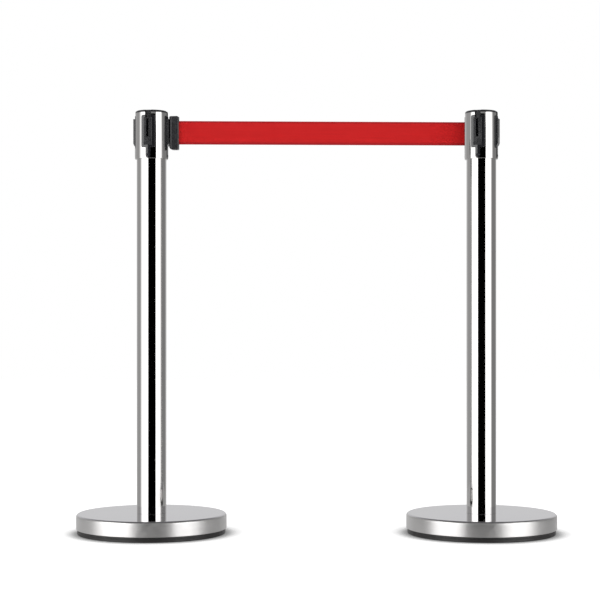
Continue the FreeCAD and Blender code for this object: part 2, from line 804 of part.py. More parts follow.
def stanchion(side):
    """Every piece of one stanchion except its belt and clip, by node name."""
    pieces = {
        "base_cover": base_cover(),
        "base_weight": base_weight(),
        "floor_ring": floor_ring(),
        "clamp_bolt": clamp_bolt(),
        "clamp_washer": clamp_washer(),
        "foot_plug": foot_plug(),
        "tube": post_tube(),
        "head_shell": head_shell(),
        "top_cap": top_cap(),
        "head_screws": head_screws(),
        "belt_mouth": belt_mouth(),
        "cassette_body": cassette_body(),
        "cassette_lid": cassette_cover(),
        "spindle": spindle(),
        "spindle_screw": spindle_screw(),
        "spool": spool(),
        "spool_bushes": spool_bushes(),
        "clock_spring": clock_spring(),
        "spring_cover": spring_cup_cover(),
    }
    for name, angle in ports[side].items():
        pieces[f"receiver_{name}"] = turned(receiver(), angle)
    return {f"{side}_{name}": on_post(shape, side, mouth_angle[side]) for name, shape in pieces.items()}


def belts_and_clips():
    """Both rolls, the drawn belt with its hooked clip, and the parked belt with its clip."""
    drawn = (hooked_pin_from_right_head() - Vector(lip_reach, 0, 0)).Length
    right_roll, right_distance = belt_roll(belt_length - drawn)
    left_roll, left_distance = belt_roll(belt_length - parked_pin_reach() + lip_reach)
    run, end = drawn_belt(right_distance)
    return {
        "right_belt_roll": on_post(right_roll, "right", mouth_angle["right"]),
        "left_belt_roll": on_post(left_roll, "left", mouth_angle["left"]),
        "right_belt_run": on_post(run, "right", mouth_angle["right"]),
        "right_belt_end": on_post(end, "right", mouth_angle["right"]),
        "left_belt_parked": on_post(parked_belt(left_distance), "left", mouth_angle["left"]),
        "right_clip": hooked(clip_body()),
        "right_clip_pin": hooked(clip_pin()),
        "left_clip": parked(clip_body()),
        "left_clip_pin": parked(clip_pin()),
    }


def main():
    os.makedirs("parts", exist_ok=True)
    nodes = {**stanchion("right"), **stanchion("left"), **belts_and_clips()}
    for name, shape in nodes.items():
        shape.exportStep(f"parts/{name}.step")


main()
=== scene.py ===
import json
import math

import bmesh
import bpy
from mathutils import Matrix, Vector


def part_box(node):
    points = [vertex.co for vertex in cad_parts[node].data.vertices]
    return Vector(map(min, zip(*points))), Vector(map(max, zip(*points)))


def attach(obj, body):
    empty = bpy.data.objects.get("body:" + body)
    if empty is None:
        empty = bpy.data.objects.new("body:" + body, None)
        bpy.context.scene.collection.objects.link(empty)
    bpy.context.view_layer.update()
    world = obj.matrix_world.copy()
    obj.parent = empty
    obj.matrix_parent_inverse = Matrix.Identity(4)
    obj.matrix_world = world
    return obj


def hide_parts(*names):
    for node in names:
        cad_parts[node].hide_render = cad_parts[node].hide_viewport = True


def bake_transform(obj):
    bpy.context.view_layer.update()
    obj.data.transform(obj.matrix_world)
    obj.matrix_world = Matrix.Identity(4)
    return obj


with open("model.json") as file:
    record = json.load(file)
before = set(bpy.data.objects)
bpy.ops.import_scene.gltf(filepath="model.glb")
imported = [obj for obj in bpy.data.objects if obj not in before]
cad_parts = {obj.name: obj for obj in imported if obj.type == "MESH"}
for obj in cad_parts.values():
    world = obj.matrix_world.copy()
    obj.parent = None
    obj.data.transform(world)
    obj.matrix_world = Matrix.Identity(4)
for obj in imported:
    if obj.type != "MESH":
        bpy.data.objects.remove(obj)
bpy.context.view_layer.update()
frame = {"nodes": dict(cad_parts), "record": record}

MM = 0.001

# ---------------------------------------------------------------- sizes (mm) as the solids have them
BASE_HEIGHT = 43.0
COVER_RADIUS = 160.0
COVER_WALL_INNER = 159.0
COVER_SHEET = 1.0
COVER_CORNER = 6.0
COVER_FOOT = 0.8  # round on the edge above the rubber
BOLT_HOLE = 6.5
RING_HEIGHT = 11.0
RING_OUTER = 157.5
RING_INNER = 145.5
RING_SOLE = 3.5
RING_FOOT = 1.5  # round on the edge that stands on the floor
RING_LIP_TOP = 19.0
RING_LIP_INNER = 154.5
RING_LIP_OUTER = 158.9
GROOVE_LOW = 5.0  # the shallow groove round the rubber
GROOVE_HIGH = 7.2
GROOVE_DEPTH = 0.7
GROOVE_SLOPE = 0.6
TUBE_RADIUS = 31.5
TUBE_BORE = 30.3
TUBE_TOP = 819.0
SHELL_RADIUS = 34.7
SHELL_BORE = 32.9
SLEEVE_BORE = 31.6
SHELL_BOTTOM = 797.0
SHELL_EDGE = 0.8
SHELL_TOP = 895.5
STEP_GAP = 0.1  # from the tube's end to the step in the shell
PLATE_RADIUS = 35.5
WINDOW_LOW = 820.0
WINDOW_HIGH = 889.0
WINDOW_HALF = 15.0
WINDOW_CORNER = 4.0
MOUTH_HALF = 8.0
NOTCH_HALF = 6.5
TONGUE_HALF = 5.4
TONGUE_TIP = 797.8
TONGUE_FLOOR = 33.6
TONGUE_GAP = 0.2
BELT_LOW = 828.5
BELT_HIGH = 878.5
BELT_THICKNESS = 0.5
LIP_REACH = 31.0  # from a post's axis to the lips of its belt mouth
LIP_CENTRE = 2.3  # to the side of the mouth's middle, and the radius that the belt bends by there
BELT_BEND = 12.0  # radius where the drawn belt turns towards the other post
BELT_END_LENGTH = 150.0  # before the pin, from where it goes with the clip
PARKED_PIN = 40.9  # from a post's axis to the pin of the clip at it
HOOKED_PIN = 54.5
PIN_LOOP = 2.3  # radius of the belt's loop round the pin
PIN_EASE = 0.7  # radius of the bend into the loop
BEND_SETBACK = 0.4  # from the face of the mouth's plate to where the drawn belt bends
PARKED_HELD = 2.0  # past the lips, up to where the parked belt stays with its post
PARKED_GAP = 0.3  # past the plate, from where it goes with its clip
PORT_ANGLES = (0.0, 90.0, 180.0, 270.0)  # from the mouth, in degrees
MOUTH_HEADING = {"right": 160.5, "left": 82.3}
HOOKED_HEADING = 352.3  # the left post's receiver that holds the clip
ROLL_LEAVING = {"right": 20.287, "left": 22.8}  # how far from the axis the belt leaves its roll
SIDES = ("right", "left")
SMALL_ROUND = 0.3
CUT_OVER = 1.0  # how far a cutter reaches past what it cuts
LOOP_TURN = 300.0  # degrees that a belt goes round its clip's pin

# ---------------------------------------------------------------- how fine the meshes are
TUBE_STEPS = 192  # round a whole turn
SHELL_STEPS = 240
BASE_STEPS = 256
ROUND_SEGMENTS = 6
BELT_ROWS = 12  # across a belt's width
BEND_STEP = 6.0  # degrees of a bend to one step
FEWEST_STEPS = 3
SHARP_ANGLE = 35.0  # degrees from which an edge shades sharp
CLOTH_SHARP_ANGLE = 80.0
WALL_RISE = 0.7  # faces whose normals rise less than this are the cover's wall

# ---------------------------------------------------------------- studio, in metres
CAMERA = (-0.0352, -3.4, 0.45)
FOCAL_LENGTH = 95.53  # mm, on a sensor 36 mm wide
SENSOR = 36.0
SHIFT = 0.0369  # of the view, upwards, as a share of the sensor's width
LAMP = 2.0  # how bright the softboxes are, where 1 is white
LAMP_EDGE = 0.2  # what share of it is left at their soft edges
LAMP_FADE = 0.25  # share of their width over which they fade
LAMP_LOW = -1.0
LAMP_HIGH = 1.9
LAMP_FEET = {"left": ((-1.9, -0.02), (-1.4, -2.68)), "right": ((1.52, -2.49), (1.9, -0.22))}
FLAG_BACK = -4.2
FLAG_LEFT = -2.5
FLAG_RIGHT = 2.9
FLAG_LOW = -1.2
FLAG_HIGH = 2.6
FLAG_STEEP = 0.165  # rise of the reflections that start to miss the flag, and of those that see none of it
FLAG_CLEAR = 0.225
FLOOR_HALF = 9.0
FLOOR_COLOUR = 0.8  # grey value of the paper
FLOOR_SEEN = 0.5  # metres round each post where reflections see the floor
FLOOR_SHARE = 0.4  # how much of it they see there
FLOOR_LIFT = 0.52  # glow that turns the lit floor white to the camera
CONTACT_REACH = 0.10  # metres round the rubber over which painted contact shade darkens the floor
CONTACT_SHADE = 0.32  # what share of the floor's brightness the painted contact shade leaves there
CONTACT_OPEN = (0.5, 0.96)  # share of open sky over the floor where the painted contact shade is full, and where it ends
LEFT_LEVEL = 0.46  # how bright the space round the posts is
RIGHT_LEVEL = 0.30
BACK_LEVEL = 0.64
ABOVE_LEVEL = 0.85
SIDE_SPAN = 0.8  # how far to each side the space goes from one level to the other
BACK_EDGE = (0.62, 0.9)  # where, from the side to straight behind, the back begins and is full
ABOVE_EDGE = (0.35, 0.9)  # where, from level to straight up, the space above does
CEILING = 0.12  # how bright reflections see the space above

# ---------------------------------------------------------------- webbing, in metres
WEAVE_PITCH = 0.0011
TOP_EDGE_BAND = (0.0026, 0.0046)  # in from the belt's edge, where its dark band starts to fade and is gone
# painted shade along the belt's lower edge: in from that edge, where it starts to fade and is gone
BOTTOM_EDGE_SHADE = (0.0022, 0.0080)


def middle(name):
    low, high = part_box(name)
    return (low + high) / 2


POST_X = {side: middle(f"{side}_tube").x / MM for side in SIDES}


def heading(angle):
    return Vector((math.cos(math.radians(angle)), math.sin(math.radians(angle)), 0))


# ---------------------------------------------------------------- camera and studio
def link(made):
    bpy.context.scene.collection.objects.link(made)
    return made


def make_camera():
    lens = bpy.data.cameras.new("camera")
    lens.lens, lens.sensor_width, lens.shift_y = FOCAL_LENGTH, SENSOR, SHIFT
    made = link(bpy.data.objects.new("camera", lens))
    made.location = CAMERA
    made.rotation_euler = (math.radians(90), 0, 0)
    bpy.context.scene.camera = made


def softbox(name, left, right, fading):
    """An upright flat lamp over two points on the floor; it faces the side that has them in that order.
    Fading gives where its soft edge starts and ends, as shares of its width."""
    start, end = Vector((*left, 0)), Vector((*right, 0))
    light = bpy.data.lights.new(name, "AREA")
    light.shape, light.size, light.size_y = "RECTANGLE", (end - start).length, LAMP_HIGH - LAMP_LOW
    light.energy = LAMP * math.pi * light.size * light.size_y
    light.use_nodes = True
    tree = light.node_tree
    across = node(tree, "SeparateXYZ", {0: node(tree, "NewGeometry").outputs["Parametric"]}).outputs["X"]
    tree.nodes["Emission"].inputs["Color"].default_value = (1, 1, 1, 1)
    put(tree, tree.nodes["Emission"].inputs["Strength"], spread(tree, across, *fading, LAMP_EDGE, 1.0))
    made = link(bpy.data.objects.new(name, light))
    made.location = (start + end) / 2 + Vector((0, 0, (LAMP_LOW + LAMP_HIGH) / 2))
    facing = Vector((0, 0, 1)).cross(end - start)
    made.rotation_euler = facing.to_track_quat("-Z", "Y").to_euler()
    made.visible_camera = False


def black_flag():
    """A black sheet behind the camera that only reflections see, and that steep ones miss."""
    mesh = bmesh.new()
    corners = [(FLAG_LEFT, FLAG_LOW), (FLAG_RIGHT, FLAG_LOW), (FLAG_RIGHT, FLAG_HIGH), (FLAG_LEFT, FLAG_HIGH)]
    mesh.faces.new([mesh.verts.new((x, FLAG_BACK, z)) for x, z in corners])
    bmesh.ops.scale(mesh, vec=(1 / MM,) * 3, verts=mesh.verts)
    flag = as_object("flag", mesh)
    flag.visible_camera = flag.visible_diffuse = flag.visible_shadow = False
    cloth = bpy.data.materials.new("black_flag")
    cloth.use_nodes = True
    tree = cloth.node_tree
    tree.nodes.clear()
    rise = node(tree, "SeparateXYZ", {0: node(tree, "NewGeometry").outputs["Incoming"]}).outputs["Z"]
    steep = spread(tree, rise, -FLAG_CLEAR, -FLAG_STEEP, 1.0, 0.0)
    black = node(tree, "BsdfDiffuse", {"Color": (0, 0, 0, 1)}).outputs[0]
    gone = tree.nodes.new("ShaderNodeBsdfTransparent").outputs[0]
    surface = node(tree, "MixShader", {0: steep, 1: black, 2: gone}).outputs[0]
    node(tree, "OutputMaterial", {"Surface": surface})
    flag.data.materials.append(cloth)
    return flag


def studio():
    """A pale floor, a black flag behind the camera, two tall softboxes beside it and a bright back."""
    softbox("softbox_left", *LAMP_FEET["left"], (0.0, LAMP_FADE))
    softbox("softbox_right", *LAMP_FEET["right"], (1.0, 1.0 - LAMP_FADE))
    mesh = bmesh.new()
    bmesh.ops.create_grid(mesh, x_segments=1, y_segments=1, size=FLOOR_HALF / MM)
    floor = as_object("floor", mesh)
    floor.data.materials.append(floor_paper())
    black_flag()
    world_light()


def floor_paper():
    """White paper that looks white and keeps shadows, with painted contact shade round the rubber;
    reflections see it only near the posts.
    """
    paper = bpy.data.materials.new("floor_paper")
    paper.use_nodes = True
    tree = paper.node_tree
    tree.nodes.clear()
    rays = tree.nodes.new("ShaderNodeLightPath").outputs
    where = tree.nodes.new("ShaderNodeTexCoord").outputs["Object"]
    split = node(tree, "SeparateXYZ", {0: where}).outputs
    beside = maths(tree, "SUBTRACT", maths(tree, "ABSOLUTE", split["X"]), POST_X["right"] * MM)
    flat = node(tree, "CombineXYZ", {0: beside, 1: split["Y"]}).outputs[0]
    away = node(tree, "VectorMath", {0: flat}, operation="LENGTH").outputs["Value"]
    unseen = maths(tree, "MAXIMUM", maths(tree, "GREATER_THAN", away, FLOOR_SEEN), 1 - FLOOR_SHARE)
    hidden = maths(tree, "MULTIPLY", rays["Is Glossy Ray"], unseen)
    # painted contact shade: occlusion darkens the floor's colour and glow where the base closes off the sky
    nearby = node(tree, "AmbientOcclusion", {"Distance": CONTACT_REACH}, samples=16).outputs["AO"]
    shade = spread(tree, nearby, *CONTACT_OPEN, CONTACT_SHADE, 1.0)
    grey = maths(tree, "MULTIPLY", shade, FLOOR_COLOUR)
    matt = node(tree, "BsdfDiffuse", {"Color": grey}).outputs[0]
    seen = maths(tree, "MULTIPLY", rays["Is Camera Ray"], shade)
    lift = maths(tree, "MULTIPLY", seen, FLOOR_LIFT)
    glow = node(tree, "Emission", {"Color": (1, 1, 1, 1), "Strength": lift}).outputs[0]
    lit = node(tree, "AddShader", {0: matt, 1: glow}).outputs[0]
    gone = tree.nodes.new("ShaderNodeBsdfTransparent").outputs[0]
    surface = node(tree, "MixShader", {0: hidden, 1: lit, 2: gone}).outputs[0]
    node(tree, "OutputMaterial", {"Surface": surface})
    return paper


def world_light():
    """White to the camera; to the posts, bright behind, grey beside, and bright above but for mirrors."""
    world = bpy.data.worlds.new("studio")
    bpy.context.scene.world = world
    world.use_nodes = True
    tree = world.node_tree
    tree.nodes.clear()
    around = tree.nodes.new("ShaderNodeTexCoord").outputs["Generated"]
    way = node(tree, "SeparateXYZ", {0: around}).outputs
    side = spread(tree, way["X"], -SIDE_SPAN, SIDE_SPAN, LEFT_LEVEL, RIGHT_LEVEL)
    back = spread(tree, way["Y"], *BACK_EDGE, 0.0, 1.0)
    top = spread(tree, way["Z"], *ABOVE_EDGE, 0.0, 1.0)
    level = node(tree, "Mix", {0: back, 2: side, 3: BACK_LEVEL}).outputs[0]
    rays = tree.nodes.new("ShaderNodeLightPath").outputs
    above = node(tree, "Mix", {0: rays["Is Glossy Ray"], 2: ABOVE_LEVEL, 3: CEILING}).outputs[0]
    level = node(tree, "Mix", {0: top, 2: level, 3: above}).outputs[0]
    lit = node(tree, "Background", {"Color": (1, 1, 1, 1), "Strength": level}).outputs[0]
    white = node(tree, "Background", {"Color": (1, 1, 1, 1)}).outputs[0]
    surface = node(tree, "MixShader", {0: rays["Is Camera Ray"], 1: lit, 2: white}).outputs[0]
    node(tree, "OutputWorld", {"Surface": surface})


# ---------------------------------------------------------------- shader nodes
def put(tree, socket, value):
    if isinstance(value, bpy.types.NodeSocket):
        tree.links.new(value, socket)
    else:
        socket.default_value = value


def node(tree, kind, inputs=(), **settings):
    """A new shader node; inputs is a dict of socket name or number to a value or a socket."""
    made = tree.nodes.new("ShaderNode" + kind)
    for name, value in settings.items():
        setattr(made, name, value)
    for socket, value in dict(inputs).items():
        put(tree, made.inputs[socket], value)
    return made


def maths(tree, operation, first, second=0.0):
    return node(tree, "Math", {0: first, 1: second}, operation=operation).outputs[0]


def mixed(tree, share, first, second):
    made = node(tree, "Mix", {0: share, 6: first, 7: second}, data_type="RGBA")
    return made.outputs[2]


def spread(tree, value, low, high, new_low, new_high):
    """Value stretched from low..high to new_low..new_high, smoothly and clamped."""
    inputs = {"Value": value, 1: low, 2: high, 3: new_low, 4: new_high}
    return node(tree, "MapRange", inputs, interpolation_type="SMOOTHSTEP").outputs[0]


def noise(tree, vector, scale, detail=2.0, roughness=0.5):
    inputs = {"Vector": vector, "Scale": scale, "Detail": detail, "Roughness": roughness}
    return node(tree, "TexNoise", inputs).outputs["Fac"]


def stretched(tree, vector, scale, turn=0.0, place=(0, 0, 0)):
    """Coordinates less a place, then turned about Z, then scaled."""
    away = node(tree, "VectorMath", {0: vector, 1: place}, operation="SUBTRACT").outputs[0]
    rotated = node(tree, "Mapping", {"Vector": away, "Rotation": (0, 0, turn)}).outputs[0]
    return node(tree, "VectorMath", {0: rotated, 1: scale}, operation="MULTIPLY").outputs[0]


def effect(name, inputs, outputs):
    """An empty node group with its sockets; returns the tree, its input sockets and its output node."""
    tree = bpy.data.node_groups.new(name, "ShaderNodeTree")
    for label, kind, value in inputs:
        socket = tree.interface.new_socket(label, in_out="INPUT", socket_type="NodeSocket" + kind)
        if value is not None:
            socket.default_value = value
    for label, kind in outputs:
        tree.interface.new_socket(label, in_out="OUTPUT", socket_type="NodeSocket" + kind)
    return tree, tree.nodes.new("NodeGroupInput").outputs, tree.nodes.new("NodeGroupOutput").inputs


def use(tree, group, inputs):
    made = tree.nodes.new("ShaderNodeGroup")
    made.node_tree = group
    for socket, value in inputs.items():
        put(tree, made.inputs[socket], value)
    return made.outputs


def edge_wear_effect():
    """A mask that is 1 along edges that hands and shoes rub, broken up by noise."""
    tree, given, result = effect(
        "edge_wear", [("Vector", "Vector", None), ("Radius", "Float", 0.0006)], [("Mask", "Float")]
    )
    rounded = node(tree, "Bevel", {"Radius": given["Radius"]}, samples=4).outputs[0]
    flat = node(tree, "NewGeometry").outputs["Normal"]
    alike = node(tree, "VectorMath", {0: rounded, 1: flat}, operation="DOT_PRODUCT").outputs["Value"]
    edge = spread(tree, alike, 0.995, 0.8, 0.0, 1.0)
    patches = spread(tree, noise(tree, given["Vector"], 160.0, 4.0), 0.42, 0.62, 0.0, 1.0)
    put(tree, result["Mask"], maths(tree, "MULTIPLY", edge, patches))
    return tree


def smudge_effect():
    """Roughness that wanders between two values, as handled metal and plastic does."""
    inputs = [("Vector", "Vector", None)]
    inputs += [("Scale", "Float", 20.0), ("Clean", "Float", 0.05), ("Dull", "Float", 0.12)]
    tree, given, result = effect("smudges", inputs, [("Roughness", "Float")])
    wide = noise(tree, given["Vector"], given["Scale"], 3.0)
    fine = noise(tree, given["Vector"], maths(tree, "MULTIPLY", given["Scale"], 9.0), 4.0)
    both = maths(tree, "MULTIPLY", wide, fine)
    share = spread(tree, both, 0.18, 0.42, 0.0, 1.0)
    inputs = {"Value": share, 3: given["Clean"], 4: given["Dull"]}
    put(tree, result["Roughness"], node(tree, "MapRange", inputs).outputs[0])
    return tree


def grain_effect():
    """Fine parallel lines from grinding or drawing; the vector is already scaled along and across them."""
    tree, given, result = effect("grain", [("Vector", "Vector", None)], [("Height", "Float")])
    coarse = noise(tree, given["Vector"], 1.0, 2.0, 0.6)
    fine = noise(tree, given["Vector"], 3.7, 2.0, 0.6)
    put(tree, result["Height"], maths(tree, "ADD", coarse, maths(tree, "MULTIPLY", fine, 0.5)))
    return tree


def moulded_effect():
    """The fine pebbled skin of moulded plastic and rubber."""
    inputs = [("Vector", "Vector", None), ("Scale", "Float", 1800.0)]
    tree, given, result = effect("moulded_skin", inputs, [("Height", "Float")])
    place = {"Vector": given["Vector"], "Scale": given["Scale"]}
    cells = node(tree, "TexVoronoi", place, feature="SMOOTH_F1")
    put(tree, result["Height"], cells.outputs["Distance"])
    return tree


def weave_effect():
    """Plain-woven webbing. The vector is metres along the belt, through it and across it."""
    inputs = [("Vector", "Vector", None), ("Pitch", "Float", WEAVE_PITCH)]
    inputs += [("Low", "Float", 0.0), ("High", "Float", 0.05)]
    outputs = [("Height", "Float"), ("Shade", "Float"), ("Edge_band_and_shade", "Float")]
    tree, given, result = effect("weave", inputs, outputs)
    split = node(tree, "SeparateXYZ", {0: given["Vector"]}).outputs
    rate = maths(tree, "DIVIDE", 2 * math.pi, given["Pitch"])
    along = maths(tree, "MULTIPLY", split["X"], rate)
    across = maths(tree, "MULTIPLY", split["Z"], rate)
    picks = maths(tree, "ABSOLUTE", maths(tree, "SINE", along))
    ends = maths(tree, "ABSOLUTE", maths(tree, "SINE", across))
    over = maths(tree, "MULTIPLY", maths(tree, "SINE", along), maths(tree, "SINE", across))
    turn = spread(tree, over, -0.1, 0.1, 0.0, 1.0)
    under_share = maths(tree, "SUBTRACT", 1.0, turn)
    yarn = maths(
        tree, "ADD", maths(tree, "MULTIPLY", picks, turn), maths(tree, "MULTIPLY", ends, under_share)
    )
    from_low = maths(tree, "SUBTRACT", split["Z"], given["Low"])
    from_high = maths(tree, "SUBTRACT", given["High"], split["Z"])
    # a darker band along the top edge, and painted shade growing towards the lower edge
    top = spread(tree, from_high, *TOP_EDGE_BAND, 0.85, 0.0)
    bottom = spread(tree, from_low, *BOTTOM_EDGE_SHADE, 1.0, 0.0)
    put(tree, result["Height"], yarn)
    put(tree, result["Shade"], noise(tree, stretched(tree, given["Vector"], (9.0, 9.0, 260.0)), 1.0, 3.0))
    put(tree, result["Edge_band_and_shade"], maths(tree, "MAXIMUM", top, bottom))
    return tree


EFFECTS = {
    "wear": edge_wear_effect(),
    "smudges": smudge_effect(),
    "grain": grain_effect(),
    "moulded": moulded_effect(),
    "weave": weave_effect(),
}


# ---------------------------------------------------------------- finishes
def finish(name, metallic=0.0, ior=1.5):
    """A material with one Principled shader; returns it, its tree, the shader's sockets and coordinates."""
    material = bpy.data.materials.new(name)
    material.use_nodes = True
    tree = material.node_tree
    shader = tree.nodes["Principled BSDF"]
    shader.inputs["Metallic"].default_value = metallic
    shader.inputs["IOR"].default_value = ior
    place = tree.nodes.new("ShaderNodeTexCoord").outputs["Object"]
    return material, tree, shader.inputs, place


def bumped(tree, height, distance, strength=1.0):
    inputs = {"Height": height, "Distance": distance, "Strength": strength}
    return node(tree, "Bump", inputs).outputs[0]


def polished_steel(name, place, grain_scale, colour=(0.61, 0.60, 0.592)):
    """Mirror-polished stainless steel with faint polishing lines and finger marks."""
    material, tree, shader, where = finish(name, metallic=1.0)
    local = stretched(tree, where, (1, 1, 1), place=place)
    marks = use(tree, EFFECTS["smudges"], {"Vector": local, "Scale": 14.0, "Clean": 0.035, "Dull": 0.085})
    lines = use(tree, EFFECTS["grain"], {"Vector": stretched(tree, local, grain_scale)})
    darker = [c * 0.94 for c in colour]
    put(tree, shader["Base Color"], mixed(tree, noise(tree, local, 6.0), (*colour, 1), (*darker, 1)))
    put(tree, shader["Roughness"], marks["Roughness"])
    put(tree, shader["Normal"], bumped(tree, lines["Height"], 0.0000012))
    return material


def brushed_steel_wall(name, place):
    """The base cover's upright wall, brushed round and round."""
    material, tree, shader, where = finish(name, metallic=1.0)
    local = stretched(tree, where, (1, 1, 1), place=place)
    lines = use(tree, EFFECTS["grain"], {"Vector": stretched(tree, local, (14.0, 14.0, 5200.0))})
    marks = use(tree, EFFECTS["smudges"], {"Vector": local, "Scale": 10.0, "Clean": 0.29, "Dull": 0.38})
    tint = mixed(tree, lines["Height"], (0.50, 0.492, 0.485, 1), (0.66, 0.65, 0.645, 1))
    put(tree, shader["Base Color"], tint)
    put(tree, shader["Roughness"], marks["Roughness"])
    put(tree, shader["Normal"], bumped(tree, lines["Height"], 0.000006))
    return material


def plastic(name, colour, worn, clean, dull, texture=0.000004, scale=1500.0, ior=1.5):
    """Moulded plastic or rubber: a fine pebbled skin, finger marks and lighter rubbed edges."""
    material, tree, shader, where = finish(name, ior=ior)
    marks = use(tree, EFFECTS["smudges"], {"Vector": where, "Scale": 40.0, "Clean": clean, "Dull": dull})
    wear = use(tree, EFFECTS["wear"], {"Vector": where, "Radius": 0.0005})
    skin = use(tree, EFFECTS["moulded"], {"Vector": where, "Scale": scale})
    paler = [c * 1.35 for c in colour]
    patchy = mixed(tree, noise(tree, where, 90.0, 3.0), (*colour, 1), (*paler, 1))
    rubbed = maths(tree, "MULTIPLY", wear["Mask"], 0.35)
    put(tree, shader["Base Color"], mixed(tree, rubbed, patchy, (*worn, 1)))
    put(tree, shader["Roughness"], marks["Roughness"])
    put(tree, shader["Normal"], bumped(tree, skin["Height"], texture))
    return material


def plain_metal(name, colour, clean, dull, grain_scale):
    """Turned, plated or blackened steel."""
    material, tree, shader, where = finish(name, metallic=1.0)
    lines = use(tree, EFFECTS["grain"], {"Vector": stretched(tree, where, grain_scale)})
    marks = use(tree, EFFECTS["smudges"], {"Vector": where, "Scale": 60.0, "Clean": clean, "Dull": dull})
    wear = use(tree, EFFECTS["wear"], {"Vector": where, "Radius": 0.0004})
    bright = [min(1.0, c * 1.5) for c in colour]
    put(tree, shader["Base Color"], mixed(tree, wear["Mask"], (*colour, 1), (*bright, 1)))
    put(tree, shader["Roughness"], marks["Roughness"])
    put(tree, shader["Normal"], bumped(tree, lines["Height"], 0.000004))
    return material


def cast_iron():
    """Sand-cast iron under thin black primer."""
    material, tree, shader, where = finish("cast_iron")
    sand = noise(tree, where, 900.0, 6.0, 0.7)
    lumps = noise(tree, where, 45.0, 3.0)
    rust = spread(tree, noise(tree, where, 28.0, 5.0), 0.58, 0.72, 0.0, 0.6)
    put(tree, shader["Base Color"], mixed(tree, rust, (0.028, 0.028, 0.031, 1), (0.11, 0.045, 0.02, 1)))
    put(tree, shader["Roughness"], spread(tree, lumps, 0.3, 0.7, 0.5, 0.75))
    height = maths(tree, "ADD", maths(tree, "MULTIPLY", sand, 0.35), lumps)
    put(tree, shader["Normal"], bumped(tree, height, 0.0004))
    return material


def red_webbing(name, place, turn):
    """Woven polyester belt: a darker band along its top edge, painted shade towards its lower edge and
    painted shade between the threads; turn brings the belt's run onto the pattern's X.
    """
    material, tree, shader, where = finish(name)
    shader["Specular IOR Level"].default_value = 0.15
    local = stretched(tree, where, (1, 1, 1), turn=-turn, place=place)
    cloth = use(tree, EFFECTS["weave"], {"Vector": local, "Low": BELT_LOW * MM, "High": BELT_HIGH * MM})
    field = mixed(tree, cloth["Shade"], (0.56, 0.008, 0.009, 1), (0.73, 0.013, 0.014, 1))
    # painted shade between the threads: the colour darkens where the weave's height is low
    yarns_shaded = mixed(tree, spread(tree, cloth["Height"], 0.0, 0.9, 0.5, 0.0), field, (0.34, 0.005, 0.006, 1))
    # the top band and the painted shade near the lower edge lay a dark colour over the belt
    edged = mixed(tree, maths(tree, "MULTIPLY", cloth["Edge_band_and_shade"], 0.75), yarns_shaded, (0.31, 0.008, 0.012, 1))
    put(tree, shader["Base Color"], edged)
    put(tree, shader["Roughness"], spread(tree, cloth["Height"], 0.0, 1.0, 0.75, 0.5))
    put(tree, shader["Normal"], bumped(tree, cloth["Height"], 0.0002, 1.0))
    return material


# ---------------------------------------------------------------- making meshes
def as_object(name, mesh, sharp=SHARP_ANGLE):
    """A scene object from a mesh in millimetres."""
    bmesh.ops.transform(mesh, matrix=Matrix.Scale(MM, 4), verts=mesh.verts)
    data = bpy.data.meshes.new(name)
    mesh.to_mesh(data)
    mesh.free()
    data.shade_smooth()
    data.set_sharp_from_angle(angle=math.radians(sharp))
    return link(bpy.data.objects.new(name, data))


def corner_round(mesh, corner, radius):
    bmesh.ops.bevel(
        mesh,
        geom=[corner],
        offset=radius,
        affect="VERTICES",
        segments=ROUND_SEGMENTS,
        profile=0.5,
        material=-1,
    )


def outline_face(mesh, points, rounds):
    """One face from 3-D points, with the corners that rounds names rounded to their radii."""
    corners = [mesh.verts.new(point) for point in points]
    mesh.faces.new(corners)
    for index, radius in rounds.items():
        corner_round(mesh, corners[index], radius)


def lathe(outline, rounds, steps):
    """A mesh turned about the upright axis from a closed outline of (radius, height) points."""
    mesh = bmesh.new()
    outline_face(mesh, [(radius, 0, height) for radius, height in outline], rounds)
    bmesh.ops.delete(mesh, geom=mesh.faces[:], context="FACES_ONLY")
    bmesh.ops.spin(
        mesh,
        geom=mesh.verts[:] + mesh.edges[:],
        cent=(0, 0, 0),
        axis=(0, 0, 1),
        angle=2 * math.pi,
        steps=steps,
        use_merge=True,
    )
    bmesh.ops.recalc_face_normals(mesh, faces=mesh.faces)
    return mesh


def pushed_out(outline, rounds, near, far):
    """A bar along local +X from near to far, whose section is an outline of (across, height) points."""
    mesh = bmesh.new()
    outline_face(mesh, [(near, across, height) for across, height in outline], rounds)
    pushed = bmesh.ops.extrude_face_region(mesh, geom=mesh.faces[:])["geom"]
    front = [part for part in pushed if isinstance(part, bmesh.types.BMVert)]
    bmesh.ops.translate(mesh, vec=(far - near, 0, 0), verts=front)
    bmesh.ops.recalc_face_normals(mesh, faces=mesh.faces)
    return mesh


def turned(mesh, angle):
    turn = Matrix.Rotation(math.radians(angle), 3, "Z")
    bmesh.ops.rotate(mesh, cent=(0, 0, 0), matrix=turn, verts=mesh.verts)
    return mesh


def moved(mesh, x=0.0, y=0.0, z=0.0):
    bmesh.ops.translate(mesh, vec=(x, y, z), verts=mesh.verts)
    return mesh


def on_post(mesh, side, angle=0.0):
    return moved(turned(mesh, angle), x=POST_X[side])


def cut_away(piece, cutters):
    """Takes the cutters out of a piece for good."""
    for cutter in cutters:
        cut = piece.modifiers.new("cut", "BOOLEAN")
        cut.object, cut.operation, cut.solver = cutter, "DIFFERENCE", "EXACT"
    graph = bpy.context.evaluated_depsgraph_get()
    data = bpy.data.meshes.new_from_object(piece.evaluated_get(graph))
    piece.modifiers.clear()
    piece.data = data
    for cutter in cutters:
        bpy.data.objects.remove(cutter)
    data.shade_smooth()
    data.set_sharp_from_angle(angle=math.radians(SHARP_ANGLE))


def smooth_by_size(piece):
    """Large faces keep their own shading next to small rounded edges."""
    piece.modifiers.new("shading", "WEIGHTED_NORMAL").keep_sharp = True


def dress(piece, body, slot, *materials):
    for material in materials:
        piece.data.materials.append(material)
    if body:
        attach(piece, body)


